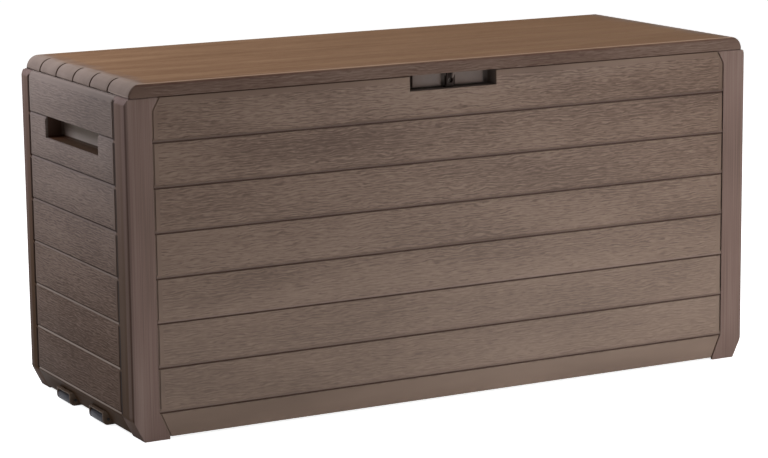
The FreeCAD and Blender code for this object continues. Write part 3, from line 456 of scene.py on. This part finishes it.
# %% Lid resin
def lid_resin_finish(name):
    """Resin with a low grain, painted light and shade on top, rims and in the grooves."""
    material, tree, place = new_finish(name)
    lengthwise, across, level = add_node(tree, "SeparateXYZ", {0: place}).outputs
    ridges = wood_lines(tree, place, "X", LID_GRAIN["spacing"], LID_GRAIN["length"])
    front = mask(tree, across, LID_FRONT + 0.5, LID_FRONT - 0.5)
    curve = beyond(tree, lengthwise, 0, LID_CURVE, 4)
    flat = mask(tree, level, 564, 566.6)
    ragged = add_node(tree, "SeparateXYZ", {0: wandering(tree, place, "Y", 14)}).outputs["X"]
    top = add_node(tree, "Math", {0: flat, 1: beyond(tree, ragged, 0, 540, 24)},
                   operation="SUBTRACT")
    top = add_node(tree, "Math", {0: top, 1: 0}, operation="MAXIMUM")
    worn_flat = add_node(tree, "Math", {0: flat, 1: -0.5, 2: 1}, operation="MULTIPLY_ADD")
    worn_curve = add_node(tree, "Math", {0: curve, 1: -0.85, 2: 1}, operation="MULTIPLY_ADD")
    strength = product(tree, worn_flat, worn_curve)
    value = add_node(tree, "Math", {0: ridges, 1: 0.5}, operation="SUBTRACT")
    value = add_node(tree, "Math", {
        0: value, 1: strength, 2: streaks(tree, place, "X", 200, 30, 3)},
        operation="MULTIPLY_ADD")
    colour = lid_tones(tree, place, value, front, curve, top)
    colour = tint_with(tree, colour, "4a332c", front, 0.3)
    # Dark grooves on the curved ends: painted shade.
    colour = tint_with(tree, colour, "3a261b", lid_grooves(tree, lengthwise, across), 0.75)
    colour = painted_front_edge(tree, colour, front, level)
    cover_relief(material, colour, product(tree, ridges, strength), 0.3, 0.7, 0.06)
    return material


lid_resin = lid_resin_finish("polypropylene_lid_planks")

# %% [markdown]
# ## Plain resin
#
# The recesses, the pull, the brackets and the inside are moulded against a plain, sand
# blasted steel face. That leaves an even satin with pores of about a tenth of a millimetre,
# which are drawn some 0.8 mm wide here so that they show.

# %% Plain resin
CLOUD = 35


def plain_resin(name, dark, light, grain, relief, rough, gloss=0.35, painted_shading=None):
    """Moulded resin with fine pores and a faint mottling; sizes are in millimetres.

    A painted_shading function can paint light and shade into its colour."""
    material, tree, place = new_finish(name)
    pores = add_node(tree, "TexNoise", {
        "Vector": place, "Scale": 1 / (grain * MM), "Detail": 2})
    clouds = add_node(tree, "TexNoise", {
        "Vector": place, "Scale": 1 / (CLOUD * MM), "Detail": 3})
    colour = add_node(tree, "ValToRGB", {"Fac": clouds}, stops={0.3: dark, 0.7: light})
    if painted_shading:
        colour = painted_shading(tree, place, colour)
    bump = add_node(tree, "Bump", {"Height": pores, "Distance": relief * MM, "Strength": 1})
    roughness = add_node(tree, "MapRange", {
        "Value": clouds, "From Min": 0.3, "From Max": 0.7,
        "To Min": rough - 0.05, "To Max": rough + 0.05})
    cover(material, {"Base Color": colour, "Roughness": roughness, "Normal": bump,
                     "IOR": RESIN_IOR, "Specular IOR Level": gloss})
    return material


recess_resin = plain_resin(
    "polypropylene_sandblasted_recess", "63564f", "70635b", 0.8, 0.05, 0.5)
# Near-black eye plates: painted shade of the dark notch they sit in.
eye_resin = plain_resin(
    "polypropylene_eye_plates", "1a0f0a", "251710", 0.8, 0.05, 0.55, 0.12)
pull_resin = plain_resin(
    "polypropylene_satin_pull", "55463f", "605048", 0.8, 0.04, 0.45, 0.2)
bracket_resin = plain_resin(
    "polypropylene_bracket", "59483a", "675444", 0.8, 0.05, 0.5, 0.15)
inner_resin = plain_resin(
    "polypropylene_inner_faces", "4d3f36", "57493f", 0.9, 0.05, 0.5)
wheel_plastic = plain_resin(
    "hard_polyethylene_roller", "343236", "3e3c40", 0.6, 0.05, 0.45)

# %% [markdown]
# ## Grip cups with painted light and shade
#
# Hands reach into the grips. The back of a cup is painted paler, as painted light, while
# its floor and its rear corner get painted shade, dark and warm.
#
# The finish is the plain resin again, tinted by masks on the depth, height and length of
# the cup.

# %% Grip resin
def grip_painted_light(tree, place, colour):
    """Colour with painted light on the cup's back and painted shade on its floor and rear end.
    """
    depth, across, level = add_node(tree, "SeparateXYZ", {0: place}).outputs
    deep = add_node(tree, "Math", {0: 1, 1: beyond(tree, depth, 0, 551.5, 1)},
                    operation="SUBTRACT")
    # Paler back of the cup: painted light.
    colour = tint_with(tree, colour, "baab9f", deep, 0.85)
    # Dark floor of the cup: painted shade.
    colour = tint_with(tree, colour, "37230f", mask(tree, level, 445, 443.4), 0.9)
    # Dark rear end of the cup: painted shade.
    return tint_with(tree, colour, "432718", mask(tree, across, 55, 112), 0.75)


grip_resin = plain_resin(
    "polypropylene_grip_painted_light", "63564f", "70635b", 0.8, 0.05, 0.55, 0.1, grip_painted_light)

# %% [markdown]
# ## Drawn steel
#
# The axles and hinge pins are cut from wire that is pulled through a die. The die leaves
# fine scratches along the wire and a grey shine that is broken by them. They are drawn half
# a millimetre wide, several times their real width. The axles sit near the wet ground and
# are blackened against rust, so their ends hardly show in the cheeks.

# %% Drawn steel
def drawn_steel(name, axis, dark, light):
    """Steel wire with scratches along an axis, between two tones."""
    material, tree, place = new_finish(name)
    scratches = streaks(tree, place, axis, 30, 0.5, 2)
    colour = add_node(tree, "ValToRGB", {"Fac": scratches}, stops={0: dark, 1: light})
    bump = add_node(tree, "Bump", {
        "Height": scratches, "Distance": 0.02 * MM, "Strength": 1})
    roughness = add_node(tree, "MapRange", {"Value": scratches, "To Min": 0.28, "To Max": 0.42})
    cover(material, {"Base Color": colour, "Roughness": roughness, "Normal": bump,
                     "Metallic": 1})
    return material


pin_steel = drawn_steel("drawn_steel_hinge_pin", "X", "8c8c8a", "b2b1ae")
axle_steel = drawn_steel("blackened_steel_axle", "Y", "343331", "4a4846")

# %% [markdown]
# ## Softened edges
#
# No moulded part has a knife edge: resin shrinks as it cools, and a mould is slightly
# rounded everywhere. That thin rounding is what catches a line of light along each plank.
#
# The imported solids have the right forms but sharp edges. Their triangles are loose, so a
# copy is joined first, its flat areas are made one face again, and a Bevel modifier then
# rounds each edge that turns by more than 30 degrees.

# %% Make a piece from a bmesh
MERGE_DISTANCE = 0.005 * MM
FLAT_ANGLE = math.radians(0.5)


def join_flats(work):
    """Merge a bmesh's doubles and make each of its flat areas one face."""
    bmesh.ops.remove_doubles(work, verts=work.verts, dist=MERGE_DISTANCE)
    bmesh.ops.dissolve_limit(
        work, angle_limit=FLAT_ANGLE, verts=work.verts, edges=work.edges)


def new_piece(name, work, finish):
    """Object at the origin that takes over a bmesh and has one finish."""
    mesh = bpy.data.meshes.new(name)
    work.to_mesh(mesh)
    work.free()
    mesh.materials.append(finish)
    piece = bpy.data.objects.new(name, mesh)
    bpy.context.scene.collection.objects.link(piece)
    print(name, "has", len(mesh.polygons), "faces")
    return piece


# %% Copy a solid and round its edges
def moulded(node, body, finish, edge):
    """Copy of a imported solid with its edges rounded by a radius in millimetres."""
    work = bmesh.new()
    work.from_mesh(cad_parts[node].data)
    join_flats(work)
    for face in work.faces:
        face.smooth = True
        face.material_index = 0
    piece = new_piece(node + "_moulded", work, finish)
    rounding = piece.modifiers.new("rounded_edges", "BEVEL")
    rounding.width = edge * MM
    rounding.segments = 2
    rounding.limit_method = "ANGLE"
    rounding.angle_limit = math.radians(30)
    rounding.use_clamp_overlap = False
    rounding.harden_normals = True
    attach(piece, body)
    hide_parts(node)
    return piece


# %% Walls, posts and floor
for node in ("front_panel", "back_panel"):
    moulded(node, "box", front_resin, 0.5)
for node in ("left_end_panel", "right_end_panel"):
    moulded(node, "box", end_resin, 0.5)
for node in ("post_front_left", "post_front_right", "post_back_left", "post_back_right"):
    moulded(node, "box", post_resin, 0.6)
moulded("floor_panel", "box", inner_resin, 0.4)

# %% Lid and latch
lid = moulded("lid_shell", "lid", lid_resin, 0.5)
moulded("lid_liner", "lid", inner_resin, 0.4)
moulded("lid_pull", "lid", pull_resin, 0.8)
moulded("lid_eye", "lid", eye_resin, 0.4)
moulded("body_eye", "box", eye_resin, 0.4)
moulded("latch_pocket", "box", recess_resin, 0.5)

# %% [markdown]
# ## A lid that is smooth on top
#
# The solid lid has its plank grooves over the whole top. On the real lid they are pressed
# only into the rounded ends and fade out where the top turns flat, so that rain runs off.
#
# The grooves don't have to be modelled again. Their floors on the flat top are lifted to
# the level of the top and joined with it; the ones on the ends stay and now taper off.

# %% Close the grooves of the flat top
FLOOR_LEVEL, TOP_LEVEL, FLAT_HALF, FRONT_EDGE = 565.2, 567, 552, -200
work = bmesh.new()
work.from_mesh(lid.data)
floors = [vertex for vertex in work.verts if abs(vertex.co.z - FLOOR_LEVEL * MM) < 0.1 * MM
          and abs(vertex.co.x) < FLAT_HALF * MM and vertex.co.y > FRONT_EDGE * MM]
bmesh.ops.translate(work, verts=floors, vec=(0, 0, (TOP_LEVEL - FLOOR_LEVEL) * MM))
join_flats(work)
work.to_mesh(lid.data)
work.free()
print("closed the grooves at", len(floors), "corners")

# %% [markdown]
# ## The catch on the lid's eye
#
# In the dark notch of the latch a small pale wedge hangs from the lid: the catch that
# guides a padlock's shackle to the hole. It is a flat piece with four sides, wide where it
# leaves the lid and narrow at the hole.
#
# Four corners give its front, an extrusion its thickness, and a bevel breaks its edges.

# %% Catch
CATCH_CORNERS = ((0.5, 547), (7, 547), (1.2, 536.2), (-1.2, 536.2))
CATCH_FRONT, CATCH_THICKNESS = -219.4, 2.2
work = bmesh.new()
corners = [work.verts.new((x * MM, CATCH_FRONT * MM, z * MM)) for x, z in CATCH_CORNERS]
front = bmesh.ops.contextual_create(work, geom=corners)["faces"]
grown = bmesh.ops.extrude_face_region(work, geom=front, use_keep_orig=True)["geom"]
bmesh.ops.translate(work, vec=(0, CATCH_THICKNESS * MM, 0),
                    verts=[part for part in grown if isinstance(part, bmesh.types.BMVert)])
bmesh.ops.recalc_face_normals(work, faces=work.faces)
bmesh.ops.bevel(work, geom=work.edges[:], offset=0.4 * MM, offset_type="OFFSET",
                affect="EDGES", segments=2, profile=0.5, material=-1)
for face in work.faces:
    face.smooth = True
catch = new_piece("lid_catch", work, pull_resin)
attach(catch, "lid")

# %% [markdown]
# ## Grips, rollers and pins
#
# The grip cups, brackets and rollers are mouldings too and get softened edges. The axles
# and hinge pins come straight from the wire and hardly show between the knuckles and
# cheeks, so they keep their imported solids, and only their material is changed.

# %% Grips, brackets and pins
for side in ("left", "right"):
    moulded("grip_cup_" + side, "box", grip_resin, 0.6)
for side in ("front", "back"):
    moulded("wheel_bracket_" + side, "box", bracket_resin, 0.4)
    moulded("wheel_" + side, "roller_" + side, wheel_plastic, 0.3)
for steel, nodes in ((axle_steel, ("axle_front", "axle_back")),
                     (pin_steel, ("hinge_pin_left", "hinge_pin_middle", "hinge_pin_right"))):
    for node in nodes:
        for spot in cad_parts[node].material_slots:
            spot.material = steel
        print(node, "keeps its solid and is", steel.name)

# %% [markdown]
# ## Floor, light and camera
#
# The photo is a studio shot on white. The floor is a wide pale sheet. To the camera it
# glows a little on top of its own light, so that it reads as white, and the box still
# throws its shadow on it. The world behind it is white to the camera too, but lights the
# box only weakly.
#
# Most light comes from large lamps overhead. On a white floor the light that bounces back
# up matters as much: two cards near the ground in front and one small cool lamp at the left
# end stand in for it, and they are hidden from the camera. No lamp is strong, so that the
# colours above come out about as they are written.
#
# The camera's place, direction and lens were worked out by fitting the solids' corners to
# the same corners in the photo, so none of them is a round number.

# %% Floor
# Half the sheet's width in metres, and the cells of its faint mottling in a metre.
FLOOR_HALF, MOTTLING_CELLS = 60, 12
CAMERA_GLOW, MIRRORED_GLOW = 0.86, 0.35


def pale_floor():
    """Material of a white sheet that looks white to the camera and keeps a shadow."""
    material, tree, place = new_finish("white_paper_sweep")
    mottling = add_node(tree, "TexNoise", {
        "Vector": place, "Scale": MOTTLING_CELLS, "Detail": 2})
    shade = add_node(tree, "MapRange", {"Value": mottling, "To Min": 0.79, "To Max": 0.81})
    colour = add_node(tree, "CombineColor", {0: shade, 1: shade, 2: shade})
    path = add_node(tree, "LightPath")
    mirrored = product(tree, path.outputs["Is Glossy Ray"], MIRRORED_GLOW)
    glow = add_node(tree, "Math", {
        0: path.outputs["Is Camera Ray"], 1: CAMERA_GLOW, 2: mirrored},
        operation="MULTIPLY_ADD")
    cover(material, {"Base Color": colour, "Roughness": 0.9, "Emission Color": (1, 1, 1, 1),
                     "Emission Strength": glow, "Specular IOR Level": 0.1})
    return material


work = bmesh.new()
bmesh.ops.create_grid(work, x_segments=1, y_segments=1, size=FLOOR_HALF)
floor = new_piece("floor", work, pale_floor())

# %% World
AMBIENT = 0.2
world = bpy.data.worlds.new("white_studio")
bpy.context.scene.world = world
world.use_nodes = True
tree = world.node_tree
tree.nodes.clear()
path = add_node(tree, "LightPath")
seen = add_node(tree, "Math", {
    0: path.outputs["Is Camera Ray"], 1: path.outputs["Is Transmission Ray"]},
    operation="MAXIMUM")
strength = add_node(tree, "MapRange", {"Value": seen, "To Min": AMBIENT, "To Max": 1})
sky = add_node(tree, "Background", {"Color": (1, 1, 1, 1), "Strength": strength})
add_node(tree, "OutputWorld", {"Surface": sky})
print("the world is white to the camera and lights the box with", AMBIENT)


# %% Lamps
def soft_lamp(name, place, target, size, power, colour="ffffff", hidden=False):
    """Square lamp that faces a target; places and size in metres, power in watts."""
    data = bpy.data.lights.new(name, "AREA")
    data.shape = "SQUARE"
    data.size = size
    data.energy = power
    data.color = linear(colour)[:3]
    lamp = bpy.data.objects.new(name, data)
    lamp.location = place
    lamp.rotation_euler = (Vector(target) - Vector(place)).to_track_quat("-Z", "Y").to_euler()
    lamp.visible_camera = not hidden
    bpy.context.scene.collection.objects.link(lamp)
    print(name, "gives", power, "W")


soft_lamp("front_card", (0.8, -1.5, 0.03), (0.5, -0.2, 0.22), 1.0, 23.5, hidden=True)
soft_lamp("left_card", (-0.55, -1.3, 0.02), (-0.45, -0.2, 0.12), 0.6, 2, hidden=True)
soft_lamp("end_lamp", (-1.1, 0.35, 1.05), (-0.58, 0, 0.5), 0.45, 8, "eaf0ff", hidden=True)
soft_lamp("key_lamp", (1.6, -3.2, 2.2), (0.1, 0, 0.3), 2.0, 1.5)
soft_lamp("front_top_lamp", (1.2, -1.8, 2.6), (0.6, -1.0, 0), 1.6, 8)
soft_lamp("top_lamp", (0.3, 0.4, 2.8), (0, 0, 0.5), 2.2, 37)
soft_lamp("back_lamp", (2.4, 1.8, 2.4), (0, 0, 0.3), 2.0, 27)

# %% Camera
CAMERA_PLACE = (-2.14564, -3.99307, 1.11364)
YAW, PITCH, ROLL = -0.49058, -0.18839, 0.01146
FOCAL_PIXELS, IMAGE_WIDTH, SENSOR_WIDTH = 2680.594, 768, 36
ahead = Vector((-math.sin(YAW) * math.cos(PITCH), math.cos(YAW) * math.cos(PITCH),
                math.sin(PITCH)))
right = Vector((math.cos(YAW), math.sin(YAW), 0))
down = ahead.cross(right)
tilted_right = math.cos(ROLL) * right + math.sin(ROLL) * down
tilted_down = -math.sin(ROLL) * right + math.cos(ROLL) * down
turn = Matrix((tilted_right, -tilted_down, -ahead)).transposed()

# %% Lens
lens = bpy.data.cameras.new("photo_camera")
lens.sensor_width = SENSOR_WIDTH
lens.lens = FOCAL_PIXELS / IMAGE_WIDTH * SENSOR_WIDTH
lens.clip_end = 200
camera = bpy.data.objects.new("photo_camera", lens)
camera.matrix_world = Matrix.Translation(CAMERA_PLACE) @ turn.to_4x4()
bpy.context.scene.collection.objects.link(camera)
bpy.context.scene.camera = camera
bpy.context.scene.view_settings.view_transform = "Standard"
print("camera at", CAMERA_PLACE, "with a lens of", round(lens.lens, 1), "mm")
